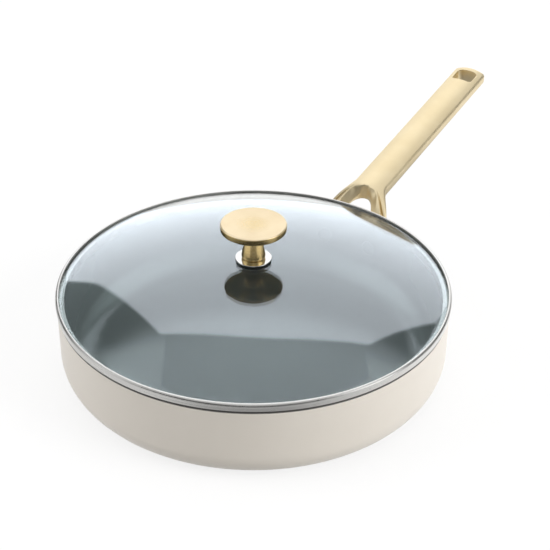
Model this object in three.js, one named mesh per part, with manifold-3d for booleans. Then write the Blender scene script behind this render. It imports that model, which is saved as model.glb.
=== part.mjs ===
// A saute pan with a domed glass lid: a straight-sided enamelled pan with a grey nonstick lining,
// a cast Y-shaped handle held by two rivets, and a lid of tempered glass in a rolled steel band,
// lifted by a turned knob that one screw holds through the glass.
// Units are millimetres. +Z is up, the base rests on z = 0 and the handle points along +X.

import * as THREE from 'three';
import { mergeVertices } from 'three/addons/utils/BufferGeometryUtils.js';
import Module from 'manifold-3d';

// Pan
const PAN_RADIUS = 144;
const PAN_HEIGHT = 60;
const PAN_WALL = 3.6;
const PAN_FLOOR = 5;
const BASE_CORNER = 23;
const RIM_ROUND = 0.9;
const LINING = 0.5;

// Steel plate pressed into the base for induction hobs
const PLATE_MARGIN = 21;
const PLATE_THICK = 1;
const PLATE_HOLE_RADIUS = 3.5;
const PLATE_RING_PITCH = 27;
const PLATE_HOLE_SPACING = 26;

// Handle: a straight grip that divides into two tines, each ending in a riveted foot
const HANDLE_REACH = 214.5;
const GRIP_WIDTH = 26.4;
const GRIP_SIDE = 5.5;
const GRIP_CROWN = 5;
const GRIP_SLOPE = 10.5;
const GRIP_START = 34;
const GRIP_LIFT = 9.9;
const GRIP_UNDER_ROUND = 2.5;
const TIP_CORNER = 4.5;
const HOLE_LENGTH = 13;
const HOLE_CORNER = 3.5;
const HOLE_SIDE_MARGIN = 4.9;
const HOLE_END_MARGIN = 8;
const FORK_WIDTH = 57;
const FORK_FOOT = 5;
const CROTCH_RELIEF = 0.4;
const WINDOW_WIDTH = 29;
const WINDOW_REACH = 24;
const FOOT_WIDTH = 16;
const FOOT_BELOW_RIVET = 9;
const FOOT_THICK = 4.5;
const FOOT_CORNER = 5;
const FOOT_ABOVE_EDGE = 3;
const FOOT_EDGE = 3.8;

// Rivets
const RIVET_RADIUS = 3;
const RIVET_HEAD_RIM = 3;
const RIVET_HEAD_HEIGHT = 2.2;
const RIVET_TAIL_RIM = 2;
const RIVET_TAIL_HEIGHT = 1.6;
const RIVET_ABOVE_CORNER = 10;
const RIVET_BELOW_TINE = 1.5;

// Lid band, a rolled steel ring that caps the rim and grips the glass
const BAND_OVERHANG = 1;
const BAND_SHEET = 1;
const BAND_ROUND = 0.9;
const BAND_SEAT = 3.2;
const BAND_LIFT = 1.8;
const LIP_WIDTH = 2.8;
const LIP_FACE = 1.3;
const SKIRT_DEPTH = 5;
const SKIRT_CLEARANCE = 0.9;

// Lid glass
const GLASS = 3.4;
const DOME_RISE = 23.5;

// Knob and the stack that clamps it to the glass
const KNOB_RADIUS = 24;
const KNOB_HEIGHT = 28.1;
const KNOB_EDGE = 3.7;
const KNOB_EDGE_ROUND = 0.5;
const KNOB_DISH = 0.5;
const STEM_FOOT_RADIUS = 8.8;
const STEM_FOOT_ROUND = 2;
const STEM_NECK_RADIUS = 6.8;
const STEM_FLARE = 4.5;
const STEM_TAPER = 0.35;
const WASHER_RADIUS = 13.3;
const WASHER = 0.8;
const WASHER_BEVEL = 0.3;
const GROMMET_RADIUS = 12.6;
const GROMMET = 0.6;
const GROMMET_SLEEVE = 1.85;
const GASKET_RADIUS = 11;
const GASKET = 1;
const LOWER_WASHER_RADIUS = 10;
const LOWER_WASHER = 1;
const LOCK_WASHER_RIM = 1.75;
const LOCK_WASHER = 1.2;
const LOCK_WASHER_SPLIT = 1.2;
const SCREW_RADIUS = 2.5;
const SCREW_HEAD_RIM = 2.3;
const SCREW_HEAD_HEIGHT = 3;
const SCREW_GRIP = 12;
const CROSS_LENGTH = 5;
const CROSS_WIDTH = 1.2;
const CROSS_DEPTH = 1.8;

// Clearances
const SEAT_GAP = 0.3;
const LINING_GAP = 0.1;
const BORE_CLEARANCE = 0.35;
const HEAD_SEAT = 0.6;

// Facets
const RING_FACETS = 60;
const KNOB_FACETS = 32;
const SMALL_FACETS = 24;
const HOLE_FACETS = 8;

const wasm = await Module();
wasm.setup();

// Materials
const enamel = new THREE.MeshStandardMaterial({ color: 0xece3d2, roughness: 0.3, metalness: 0 });
const ceramic = new THREE.MeshStandardMaterial({ color: 0x4b4d49, roughness: 0.35, metalness: 0 });
const steel = new THREE.MeshStandardMaterial({ color: 0xb9bcc0, roughness: 0.28, metalness: 1 });
const gold = new THREE.MeshStandardMaterial({ color: 0xd9c08c, roughness: 0.38, metalness: 1 });
const silicone = new THREE.MeshStandardMaterial({ color: 0x1d1d1e, roughness: 0.75, metalness: 0 });
const glass = new THREE.MeshStandardMaterial({
  color: 0xdfe6e4, roughness: 0.04, metalness: 0, transparent: true, opacity: 0.3,
});

// Profile helpers: points are [radius, height]
function arc(centreR, centreZ, radius, fromDegrees, toDegrees, steps) {
  const points = [];
  for (let i = 0; i <= steps; i += 1) {
    const angle = THREE.MathUtils.degToRad(THREE.MathUtils.lerp(fromDegrees, toDegrees, i / steps));
    points.push([centreR + radius * Math.cos(angle), centreZ + radius * Math.sin(angle)]);
  }
  return points;
}

// A low dome from its rim to its crown on the axis, rising or, with a negative height, falling
function dome(radius, rimZ, height) {
  return arc(0, 0, 1, 0, 90, 4).map(([across, along]) => [radius * across, rimZ + height * along]);
}

function lathe(points, facets) {
  const loop = points[0][0] > 0 ? [...points, points[0]] : points;
  const outline = loop.map(([r, z]) => new THREE.Vector2(r, z));
  return new THREE.LatheGeometry(outline, facets).rotateX(Math.PI / 2);
}

function disc(inner, outer, bottom, top, facets) {
  return lathe([[inner, bottom], [outer, bottom], [outer, top], [inner, top]], facets);
}

// Boolean helpers
function solid(geometry) {
  const bare = geometry.clone();
  bare.deleteAttribute('normal');
  bare.deleteAttribute('uv');
  const merged = mergeVertices(bare, 1e-4);
  const corners = merged.index.array;
  const kept = [];
  for (let i = 0; i < corners.length; i += 3) {
    const [a, b, c] = [corners[i], corners[i + 1], corners[i + 2]];
    if (a !== b && b !== c && c !== a) kept.push(a, b, c);
  }
  return new wasm.Manifold(new wasm.Mesh({
    numProp: 3,
    vertProperties: new Float32Array(merged.attributes.position.array),
    triVerts: new Uint32Array(kept),
  }));
}

function toGeometry(body) {
  const mesh = body.getMesh();
  const geometry = new THREE.BufferGeometry();
  geometry.setAttribute('position', new THREE.BufferAttribute(mesh.vertProperties, 3));
  geometry.setIndex(new THREE.BufferAttribute(mesh.triVerts, 1));
  geometry.computeVertexNormals();
  return geometry;
}

function cut(body, ...tools) {
  return tools.reduce((rest, tool) => rest.subtract(tool), body);
}

function add(group, name, geometry, material) {
  const mesh = new THREE.Mesh(geometry, material);
  mesh.name = name;
  group.add(mesh);
}

// Pan section
const innerCorner = BASE_CORNER - PAN_WALL;
const cornerR = PAN_RADIUS - BASE_CORNER;
const innerCornerZ = PAN_FLOOR + innerCorner;
const rimRound = Math.min(RIM_ROUND, PAN_WALL / 3);
const plateRadius = cornerR - PLATE_MARGIN;

function panGeometry() {
  const innerWall = PAN_RADIUS - PAN_WALL;
  const recessRadius = plateRadius + SEAT_GAP;
  const recessTop = PLATE_THICK + SEAT_GAP;
  return lathe([
    [0, recessTop],
    [recessRadius, recessTop],
    [recessRadius, 0],
    ...arc(cornerR, BASE_CORNER, BASE_CORNER, -90, 0, 6),
    ...arc(PAN_RADIUS - rimRound, PAN_HEIGHT - rimRound, rimRound, 0, 90, 2),
    ...arc(innerWall + rimRound, PAN_HEIGHT - rimRound, rimRound, 90, 180, 2),
    ...arc(cornerR, innerCornerZ, innerCorner, 0, -90, 6),
    [0, PAN_FLOOR],
  ], RING_FACETS);
}

const liningBack = PAN_RADIUS - PAN_WALL - LINING_GAP;
const liningFace = liningBack - LINING;

function liningGeometry() {
  const top = PAN_HEIGHT - rimRound;
  const backCorner = innerCorner - LINING_GAP;
  const faceCorner = backCorner - LINING;
  return lathe([
    [0, PAN_FLOOR + LINING_GAP],
    ...arc(cornerR, innerCornerZ, backCorner, -90, 0, 6),
    [liningBack, top],
    [liningFace, top],
    ...arc(cornerR, innerCornerZ, faceCorner, 0, -90, 6),
    [0, PAN_FLOOR + LINING_GAP + LINING],
  ], RING_FACETS);
}

// The plate's holes lie in as many rings as it has room for, evenly spaced along each ring
function plateGeometry() {
  const holes = [];
  const lastRing = plateRadius - 2 * PLATE_HOLE_RADIUS;
  for (let radius = PLATE_RING_PITCH; radius <= lastRing; radius += PLATE_RING_PITCH) {
    const count = Math.floor((2 * Math.PI * radius) / PLATE_HOLE_SPACING);
    for (let i = 0; i < count; i += 1) {
      const angle = (2 * Math.PI * i) / count;
      const hole = new THREE.CylinderGeometry(
        PLATE_HOLE_RADIUS, PLATE_HOLE_RADIUS, 4 * PLATE_THICK, HOLE_FACETS);
      hole.rotateX(Math.PI / 2).translate(radius * Math.cos(angle), radius * Math.sin(angle), 0);
      holes.push(solid(hole));
    }
  }
  const plate = solid(lathe([
    [0, 0], [plateRadius, 0], [plateRadius, PLATE_THICK], [0, PLATE_THICK],
  ], RING_FACETS));
  return toGeometry(cut(plate, ...holes));
}

// Handle section at a distance x from the pan's axis. Along the fork the outer edges fall away
// sooner than the crest, the underside is relieved at the crotch, and all run level into the feet.
const gripHalf = GRIP_WIDTH / 2;
const forkHalf = FORK_WIDTH / 2;
const windowHalf = WINDOW_WIDTH / 2;
const footX = PAN_RADIUS + FORK_FOOT;
const gripX = PAN_RADIUS + GRIP_START;
const tipX = PAN_RADIUS + HANDLE_REACH;
const slope = Math.tan(THREE.MathUtils.degToRad(GRIP_SLOPE));
const tineY = (forkHalf + windowHalf) / 2;
const footAngle = Math.asin(tineY / PAN_RADIUS);
const creaseAt = (x) => PAN_HEIGHT + GRIP_LIFT + (x - gripX) * slope;

const rivetHeadRadius = RIVET_RADIUS + RIVET_HEAD_RIM;
const rivetTailRadius = RIVET_RADIUS + RIVET_TAIL_RIM;
const rivetZ = innerCornerZ + RIVET_ABOVE_CORNER;
const tineUnder = rivetZ + rivetTailRadius + RIVET_BELOW_TINE;
const tineEdge = tineUnder + FOOT_EDGE;
const crestFall = creaseAt(footX) - GRIP_SIDE - tineUnder;
const edgeFall = creaseAt(footX) - tineEdge;

function handleHeights(x) {
  const at = Math.max(x, footX);
  const u = THREE.MathUtils.clamp((at - footX) / (gripX - footX), 0, 1);
  const line = creaseAt(at);
  const fall = crestFall * (1 - u) ** 4;
  return {
    half: THREE.MathUtils.lerp(forkHalf, gripHalf, u * u * (3 - 2 * u)),
    edge: line - edgeFall * (1 - u) ** 2,
    crest: line + GRIP_CROWN - fall,
    under: line - GRIP_SIDE - fall + CROTCH_RELIEF * 4 * u * (1 - u),
  };
}

function handleRing(x) {
  const { half, edge, crest, under } = handleHeights(x);
  const past = THREE.MathUtils.clamp((x - tipX) / TIP_CORNER + 1, 0, 1);
  const round = Math.sqrt(1 - past ** 2);
  const width = half - TIP_CORNER * (1 - round);
  const crown = (crest - edge) * round;
  const ring = [];
  const crownSteps = 8;
  for (let i = 0; i <= crownSteps; i += 1) {
    const across = THREE.MathUtils.lerp(1, -1, i / crownSteps);
    ring.push([x, width * across, edge + crown * (1 - across ** 2)]);
  }
  const underHalf = width - GRIP_UNDER_ROUND;
  const shoulder = under + Math.min(GRIP_UNDER_ROUND, (edge - under) / 2);
  ring.push([x, -width, shoulder], [x, -underHalf, under], [x, underHalf, under], [x, width, shoulder]);
  return ring;
}

function loft(rings) {
  const count = rings[0].length;
  const position = rings.flat(2);
  const index = [];
  for (let i = 0; i + 1 < rings.length; i += 1) {
    for (let j = 0; j < count; j += 1) {
      const a = i * count + j;
      const b = i * count + ((j + 1) % count);
      index.push(a, b, b + count, a, b + count, a + count);
    }
  }
  const outline = rings[0].map(([, y, z]) => new THREE.Vector2(y, z));
  const last = (rings.length - 1) * count;
  for (const [a, b, c] of THREE.ShapeUtils.triangulateShape(outline, [])) {
    index.push(a, c, b, last + a, last + b, last + c);
  }
  const geometry = new THREE.BufferGeometry();
  geometry.setAttribute('position', new THREE.Float32BufferAttribute(position, 3));
  geometry.setIndex(index);
  return geometry;
}

function roundedRectangle(length, width, corner) {
  const shape = new THREE.Shape();
  const x = length / 2 - corner;
  const y = width / 2 - corner;
  shape.absarc(x, y, corner, 0, Math.PI / 2);
  shape.absarc(-x, y, corner, Math.PI / 2, Math.PI);
  shape.absarc(-x, -y, corner, Math.PI, 1.5 * Math.PI);
  shape.absarc(x, -y, corner, 1.5 * Math.PI, 2 * Math.PI);
  return shape;
}

// The window between the tines is a parabola in plan, open towards the wall
function windowTool() {
  const apex = PAN_RADIUS + WINDOW_REACH;
  const steps = 12;
  const points = [];
  for (let i = 0; i <= steps; i += 1) {
    const across = THREE.MathUtils.lerp(-1, 1, i / steps);
    points.push(new THREE.Vector2(apex - (apex - footX) * across ** 2, windowHalf * across));
  }
  points.push(new THREE.Vector2(0, windowHalf), new THREE.Vector2(0, -windowHalf));
  const depth = 2 * (PAN_HEIGHT + HANDLE_REACH);
  return solid(new THREE.ExtrudeGeometry(new THREE.Shape(points), { depth, bevelEnabled: false }));
}

function hangingHoleTool() {
  const centreX = tipX - HOLE_END_MARGIN - HOLE_LENGTH / 2;
  const depth = 8 * (GRIP_SIDE + GRIP_CROWN);
  const shape = roundedRectangle(HOLE_LENGTH, GRIP_WIDTH - 2 * HOLE_SIDE_MARGIN, HOLE_CORNER);
  const hole = new THREE.ExtrudeGeometry(shape, { depth, bevelEnabled: false, curveSegments: 3 });
  hole.translate(0, 0, -depth / 2).rotateY(-THREE.MathUtils.degToRad(GRIP_SLOPE));
  return solid(hole.translate(centreX, 0, handleHeights(centreX).edge));
}

const footTop = tineEdge + FOOT_ABOVE_EDGE;
const footBottom = rivetZ - FOOT_BELOW_RIVET;
const footBack = PAN_RADIUS + SEAT_GAP;
const footFace = footBack + FOOT_THICK;

function drum(radius) {
  const top = 2 * PAN_HEIGHT;
  return solid(lathe([[0, 0], [radius, 0], [radius, top], [0, top]], RING_FACETS));
}

// A foot is a rounded plate, bent round the wall
function footSolid(side) {
  const shape = roundedRectangle(footTop - footBottom, FOOT_WIDTH, FOOT_CORNER);
  const plate = new THREE.ExtrudeGeometry(shape, { depth: footFace, bevelEnabled: false, curveSegments: 3 });
  const centreZ = (footTop + footBottom) / 2;
  plate.rotateY(Math.PI / 2).translate(PAN_RADIUS / 2, 0, centreZ).rotateZ(side * footAngle);
  return solid(plate).intersect(drum(footFace));
}

function rivetHoleTool(side) {
  const radius = RIVET_RADIUS + BORE_CLEARANCE;
  const hole = new THREE.CylinderGeometry(radius, radius, PAN_RADIUS, SMALL_FACETS);
  hole.rotateZ(Math.PI / 2).translate(PAN_RADIUS, 0, rivetZ).rotateZ(side * footAngle);
  return solid(hole);
}

function handleGeometry() {
  const wallEnd = Math.sqrt(PAN_RADIUS ** 2 - forkHalf ** 2) - 2 * SEAT_GAP;
  const forkSteps = 12;
  const gripSteps = 4;
  const tipSteps = 4;
  const rings = [handleRing(wallEnd)];
  for (let i = 0; i <= forkSteps; i += 1) {
    rings.push(handleRing(THREE.MathUtils.lerp(footX, gripX, i / forkSteps)));
  }
  for (let i = 1; i <= gripSteps; i += 1) {
    rings.push(handleRing(THREE.MathUtils.lerp(gripX, tipX - TIP_CORNER, i / gripSteps)));
  }
  for (let i = 1; i <= tipSteps; i += 1) {
    const swing = (i / tipSteps) * (Math.PI / 2);
    rings.push(handleRing(tipX - TIP_CORNER + TIP_CORNER * Math.sin(swing)));
  }
  const forked = cut(solid(loft(rings)), windowTool());
  const footed = forked.add(footSolid(1)).add(footSolid(-1));
  return toGeometry(cut(footed, hangingHoleTool(), drum(footBack), rivetHoleTool(1), rivetHoleTool(-1)));
}

// A rivet stands along Z here, with its domed head below and its tail above
function rivetGeometry() {
  const headFlat = liningFace - HEAD_SEAT;
  const tailFlat = footFace + SEAT_GAP;
  return lathe([
    ...dome(rivetHeadRadius, headFlat, -RIVET_HEAD_HEIGHT).reverse(),
    [RIVET_RADIUS, headFlat],
    [RIVET_RADIUS, tailFlat],
    ...dome(rivetTailRadius, tailFlat, RIVET_TAIL_HEIGHT),
  ], SMALL_FACETS);
}

// Lid: the band turns up and outwards from its seat on the rim, the glass rests on the flange so
// formed, and the lip closes down over the edge of the glass
const lidRadius = PAN_RADIUS + BAND_OVERHANG;
const bandBottom = PAN_HEIGHT + SEAT_GAP;
const flangeTop = bandBottom + BAND_LIFT;
const glassEdge = lidRadius - BAND_SHEET - SEAT_GAP;
const lipInner = lidRadius - LIP_WIDTH;
const domeRadius = (glassEdge ** 2 + DOME_RISE ** 2) / (2 * DOME_RISE);
const domeZ = flangeTop + SEAT_GAP - Math.sqrt((domeRadius - GLASS) ** 2 - glassEdge ** 2);
const glassTopAt = (r) => domeZ + Math.sqrt(domeRadius ** 2 - r ** 2);
const glassUnderAt = (r) => domeZ + Math.sqrt((domeRadius - GLASS) ** 2 - r ** 2);
const bandTop = glassTopAt(lipInner) + LIP_FACE;
const screwBore = SCREW_RADIUS + BORE_CLEARANCE;
const sleeveRadius = screwBore + GROMMET_SLEEVE;

function glassGeometry() {
  const holeRadius = sleeveRadius + SEAT_GAP;
  const steps = 6;
  const top = [];
  const under = [];
  for (let i = 0; i <= steps; i += 1) {
    const r = THREE.MathUtils.lerp(holeRadius, glassEdge, i / steps);
    under.push([r, glassUnderAt(r)]);
    top.unshift([r, glassTopAt(r)]);
  }
  return lathe([...under, ...top], RING_FACETS);
}

function bandGeometry() {
  const skirtOuter = liningFace - SKIRT_CLEARANCE;
  const skirtInner = skirtOuter - BAND_SHEET;
  const skirtBottom = bandBottom - SKIRT_DEPTH;
  const channel = glassEdge + SEAT_GAP;
  const roundR = lidRadius - BAND_ROUND;
  return lathe([
    [skirtInner, skirtBottom],
    [skirtOuter, skirtBottom],
    [skirtOuter, bandBottom],
    [lidRadius - BAND_SEAT, bandBottom],
    [lidRadius, flangeTop],
    ...arc(roundR, bandTop - BAND_ROUND, BAND_ROUND, 0, 90, 2),
    ...arc(lipInner + BAND_ROUND, bandTop - BAND_ROUND, BAND_ROUND, 90, 180, 2),
    [lipInner, glassTopAt(lipInner) + SEAT_GAP],
    [channel, glassTopAt(channel) + SEAT_GAP],
    [channel, flangeTop],
    [skirtInner, flangeTop],
  ], RING_FACETS);
}

// The clamped stack, from the dome's crown upwards and downwards
const grommetBottom = glassTopAt(0) + SEAT_GAP;
const washerBottom = grommetBottom + GROMMET;
const knobBottom = washerBottom + WASHER;
const gasketTop = glassUnderAt(0) - SEAT_GAP;
const lowerWasherTop = gasketTop - GASKET;
const lockWasherTop = lowerWasherTop - LOWER_WASHER;
const screwHeadTop = lockWasherTop - LOCK_WASHER;

function knobGeometry() {
  const top = knobBottom + KNOB_HEIGHT;
  const discUnder = top - KNOB_EDGE;
  const flareZ = discUnder - STEM_FLARE;
  const boreTop = knobBottom + SCREW_GRIP + KNOB_EDGE / 2;
  const footZ = knobBottom + STEM_FOOT_ROUND;
  const stem = new THREE.QuadraticBezierCurve(
    new THREE.Vector2(STEM_FOOT_RADIUS, footZ),
    new THREE.Vector2(STEM_FOOT_RADIUS, THREE.MathUtils.lerp(footZ, flareZ, STEM_TAPER)),
    new THREE.Vector2(STEM_NECK_RADIUS, flareZ),
  );
  const edgeR = KNOB_RADIUS - KNOB_EDGE_ROUND;
  const dishPoints = [0.66, 0.33, 0].map((share) => [edgeR * share, top - KNOB_DISH * (1 - share ** 2)]);
  return lathe([
    [0, boreTop],
    [screwBore, boreTop],
    [screwBore, knobBottom],
    ...arc(STEM_FOOT_RADIUS - STEM_FOOT_ROUND, footZ, STEM_FOOT_ROUND, -90, 0, 3).slice(0, -1),
    ...stem.getPoints(5).map(({ x, y }) => [x, y]),
    ...arc(STEM_NECK_RADIUS + STEM_FLARE, flareZ, STEM_FLARE, 180, 90, 4).slice(1),
    ...arc(edgeR, discUnder + KNOB_EDGE_ROUND, KNOB_EDGE_ROUND, -90, 0, 2),
    ...arc(edgeR, top - KNOB_EDGE_ROUND, KNOB_EDGE_ROUND, 0, 90, 2),
    ...dishPoints,
  ], KNOB_FACETS);
}

function washerGeometry() {
  return lathe([
    [screwBore, washerBottom],
    [WASHER_RADIUS, washerBottom],
    [WASHER_RADIUS, knobBottom - WASHER_BEVEL],
    [WASHER_RADIUS - WASHER_BEVEL, knobBottom],
    [screwBore, knobBottom],
  ], KNOB_FACETS);
}

function grommetGeometry() {
  const sleeveBottom = glassUnderAt(0) + SEAT_GAP;
  return lathe([
    [screwBore, sleeveBottom],
    [sleeveRadius, sleeveBottom],
    [sleeveRadius, grommetBottom],
    [GROMMET_RADIUS, grommetBottom],
    [GROMMET_RADIUS, washerBottom],
    [screwBore, washerBottom],
  ], KNOB_FACETS);
}

function lockWasherGeometry() {
  const radius = screwBore + LOCK_WASHER_RIM;
  const ring = disc(screwBore, radius, screwHeadTop, lockWasherTop, SMALL_FACETS);
  const split = new THREE.BoxGeometry(2 * radius, LOCK_WASHER_SPLIT, 3 * LOCK_WASHER);
  split.translate(radius, 0, lockWasherTop);
  return toGeometry(cut(solid(ring), solid(split)));
}

function screwGeometry() {
  const headBottom = screwHeadTop - SCREW_HEAD_HEIGHT;
  const tip = knobBottom + SCREW_GRIP;
  const point = SCREW_RADIUS / 3;
  const body = solid(lathe([
    ...dome(SCREW_RADIUS + SCREW_HEAD_RIM, screwHeadTop, -SCREW_HEAD_HEIGHT).reverse(),
    [SCREW_RADIUS, screwHeadTop],
    [SCREW_RADIUS, tip - point],
    [SCREW_RADIUS - point, tip],
    [0, tip],
  ], SMALL_FACETS));
  const slots = [[CROSS_LENGTH, CROSS_WIDTH], [CROSS_WIDTH, CROSS_LENGTH]].map(([x, y]) => {
    const slot = new THREE.BoxGeometry(x, y, 2 * CROSS_DEPTH);
    return solid(slot.translate(0, 0, headBottom));
  });
  return toGeometry(cut(body, ...slots));
}

// Assembly
const pan = new THREE.Group();
const holes = [rivetHoleTool(1), rivetHoleTool(-1)];
add(pan, 'pan_body', toGeometry(cut(solid(panGeometry()), ...holes)), enamel);
add(pan, 'nonstick_lining', toGeometry(cut(solid(liningGeometry()), ...holes)), ceramic);
add(pan, 'induction_plate', plateGeometry(), steel);
add(pan, 'handle', handleGeometry(), gold);
for (const [name, side] of [['rivet_left', 1], ['rivet_right', -1]]) {
  const place = new THREE.Group();
  place.position.z = rivetZ;
  place.rotation.z = side * footAngle;
  add(place, name, rivetGeometry().rotateY(Math.PI / 2), steel);
  pan.add(place);
}

const lid = new THREE.Group();
add(lid, 'lid_band', bandGeometry(), steel);
add(lid, 'lid_glass', glassGeometry(), glass);
add(lid, 'knob', knobGeometry(), gold);
add(lid, 'knob_washer', washerGeometry(), steel);
add(lid, 'knob_grommet', grommetGeometry(), silicone);
add(lid, 'lower_gasket', disc(screwBore, GASKET_RADIUS, lowerWasherTop, gasketTop, SMALL_FACETS), silicone);
add(lid, 'lower_washer',
  disc(screwBore, LOWER_WASHER_RADIUS, lockWasherTop, lowerWasherTop, SMALL_FACETS), steel);
add(lid, 'lock_washer', lockWasherGeometry(), steel);
add(lid, 'knob_screw', screwGeometry(), steel);

const coveredPan = new THREE.Group();
coveredPan.add(pan, lid);
export default coveredPan;
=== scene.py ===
# %% [markdown]
# # A saute pan with a domed glass lid
# This lesson dresses a finished CAD model. The frame holds every solid at its real size, in metres,
# with the handle along +X and the base on the ground. Each step below swaps one plain solid for a
# finely modelled piece in the same place and gives it the finish of the real thing.

# %% Load the frame
import math

import bmesh
import bpy
from mathutils import Matrix, Vector


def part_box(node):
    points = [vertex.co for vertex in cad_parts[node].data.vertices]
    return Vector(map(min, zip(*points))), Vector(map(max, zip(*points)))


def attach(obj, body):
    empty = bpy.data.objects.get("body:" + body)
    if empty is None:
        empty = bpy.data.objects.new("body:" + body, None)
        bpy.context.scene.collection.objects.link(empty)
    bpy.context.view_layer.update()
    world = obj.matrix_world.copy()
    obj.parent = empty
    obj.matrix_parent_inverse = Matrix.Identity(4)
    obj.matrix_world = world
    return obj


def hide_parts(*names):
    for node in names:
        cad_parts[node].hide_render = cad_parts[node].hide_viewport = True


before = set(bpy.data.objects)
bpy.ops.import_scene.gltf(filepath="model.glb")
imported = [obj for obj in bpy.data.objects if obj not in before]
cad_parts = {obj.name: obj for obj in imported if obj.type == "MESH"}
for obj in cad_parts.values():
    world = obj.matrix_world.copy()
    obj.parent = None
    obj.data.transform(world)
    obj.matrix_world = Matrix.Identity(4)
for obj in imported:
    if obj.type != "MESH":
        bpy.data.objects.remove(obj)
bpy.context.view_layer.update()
MM = 0.001
print("Nodes:", ", ".join(sorted(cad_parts)))

# %% [markdown]
# ## The camera
# The rim of the lid is a circle, so its ellipse in the photograph tells how high the camera stood, and
# the way its near half is larger than its far half tells how far off. A camera could be turned by
# hand until it looks right, but here it is placed from those few measured values. A small lens shift
# puts the pan where it lies in the picture.

# %% Place the camera
PHOTO_SIDE = 550
FOCAL_PIXELS = 1360.5
AIM_PIXEL = Vector((253.0, 283.3))
AIM_HEIGHT = 67.97 * MM
CAMERA_DISTANCE = 1.0
CAMERA_RISE = math.radians(32.67)
HANDLE_SWING = math.radians(56.6)
SENSOR = 36.0

aim = Vector((0, 0, AIM_HEIGHT))
up = Vector((0, 0, 1))
away = Vector((math.sin(HANDLE_SWING), math.cos(HANDLE_SWING), 0))
across = Vector((math.cos(HANDLE_SWING), -math.sin(HANDLE_SWING), 0))
sight = away * math.cos(CAMERA_RISE) - up * math.sin(CAMERA_RISE)

lens = bpy.data.cameras.new("photo_lens")
lens.sensor_width = SENSOR
lens.lens = FOCAL_PIXELS / PHOTO_SIDE * SENSOR
picture_middle = (PHOTO_SIDE - 1) / 2
lens.shift_x = (picture_middle - AIM_PIXEL.x) / PHOTO_SIDE
lens.shift_y = (AIM_PIXEL.y - picture_middle) / PHOTO_SIDE
camera = bpy.data.objects.new("photo_camera", lens)
camera.location = aim - sight * CAMERA_DISTANCE
camera.rotation_euler = sight.to_track_quat("-Z", "Y").to_euler()
bpy.context.scene.collection.objects.link(camera)
bpy.context.scene.camera = camera
print(f"Camera {lens.lens:.1f} mm at {[round(c, 3) for c in camera.location]}")

# %% [markdown]
# ## Turning pieces on a lathe
# Most of this object is round: the pan, the lid, the knob and its washers. Each could start from a
# cylinder, but real turned and pressed parts have a softened edge at every corner, and light shows
# it. So an outline is written as corners with a rounding, the corners become arcs, and the outline
# is turned round the Z axis into one closed mesh.

# %% Outline and lathe helpers
ARC_STEP = math.radians(7)
RING_STEPS = 256
SHARP_ANGLE = math.radians(38)


def softened(corners):
    """Turn (radius, height, rounding) corners into points, with an arc at each rounded corner."""
    points = []
    for i, (radius, height, *rounding) in enumerate(corners):
        here = Vector((radius, height))
        if not rounding:
            points.append(here)
            continue
        before = (Vector(corners[i - 1][:2]) - here).normalized()
        after = (Vector(corners[(i + 1) % len(corners)][:2]) - here).normalized()
        half = before.angle(after) / 2
        centre = here + (before + after).normalized() * rounding[0] / math.sin(half)
        start = here + before * rounding[0] / math.tan(half) - centre
        swing = math.pi - 2 * half
        turn = math.copysign(swing, before.x * after.y - before.y * after.x)
        steps = max(3, math.ceil(swing / ARC_STEP))
        points += [centre + Matrix.Rotation(-turn * k / steps, 2) @ start for k in range(steps + 1)]
    return points


def new_object(name, bm):
    """Make an object of a bmesh, smooth except where its faces meet at a sharp angle."""
    mesh = bpy.data.meshes.new(name)
    bm.to_mesh(mesh)
    bm.free()
    mesh.shade_smooth()
    mesh.set_sharp_from_angle(angle=SHARP_ANGLE)
    piece = bpy.data.objects.new(name, mesh)
    bpy.context.scene.collection.objects.link(piece)
    return piece


def skin(bm, rings):
    """Join each ring of corners to the next with faces. A ring of one corner is a point on the axis."""
    for lower, upper in zip(rings, rings[1:]):
        steps = max(len(lower), len(upper))
        for i in range(steps):
            j = (i + 1) % steps
            corners = [ring[k % len(ring)] for ring, k in ((lower, i), (lower, j), (upper, j), (upper, i))]
            bm.faces.new(dict.fromkeys(corners))


def turned(name, outline, steps=RING_STEPS):
    """Turn an outline of (radius, height) points round Z: it ends on the axis or closes on itself."""
    bm = bmesh.new()
    angles = [2 * math.pi * i / steps for i in range(steps)]
    rings = []
    for radius, height in outline:
        around = angles if radius > 0 else angles[:1]
        rings.append([bm.verts.new((radius * math.cos(a), radius * math.sin(a), height)) for a in around])
    if outline[0][0] > 0:
        rings.append(rings[0])
    skin(bm, rings)
    bmesh.ops.recalc_face_normals(bm, faces=bm.faces)
    return new_object(name, bm)


print("An arc gets a point every", round(math.degrees(ARC_STEP)), "degrees")

# %% [markdown]
# Every piece moves with the pan or with the lid, stands in for one CAD solid and gets its finish.
# One helper says all three, and evens out the normals so that broad
# faces stay flat beside small roundings.

# %% Fitting helpers


def fit(piece, material, body, node_name):
    """Give a piece its finish, seat it on its body and let it stand for a CAD node."""
    piece.data.materials.clear()
    piece.data.materials.append(material)
    even = piece.modifiers.new("even_normals", "WEIGHTED_NORMAL")
    even.keep_sharp = True
    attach(piece, body)
    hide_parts(node_name)
    print(f"{piece.name}: {len(piece.data.polygons)} faces, in place of {node_name}")


def place(node_name):
    """The radius, bottom and top of a round CAD node that stands on the axis."""
    low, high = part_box(node_name)
    return high.x, low.z, high.z


# %% [markdown]
# ## Shader helpers
# A material is a small graph of nodes. Writing each node and each link by hand hides the idea, so
# short helpers do it: some add one kind of node and feed its inputs, and one starts a material from a
# Principled shader whose even settings sit on its own sockets.

# %% Node helpers


def feed(socket, value):
    """Link another node's output to a socket, or set the socket's plain value."""
    if isinstance(value, bpy.types.NodeSocket):
        socket.id_data.links.new(value, socket)
    else:
        socket.default_value = value


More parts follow.
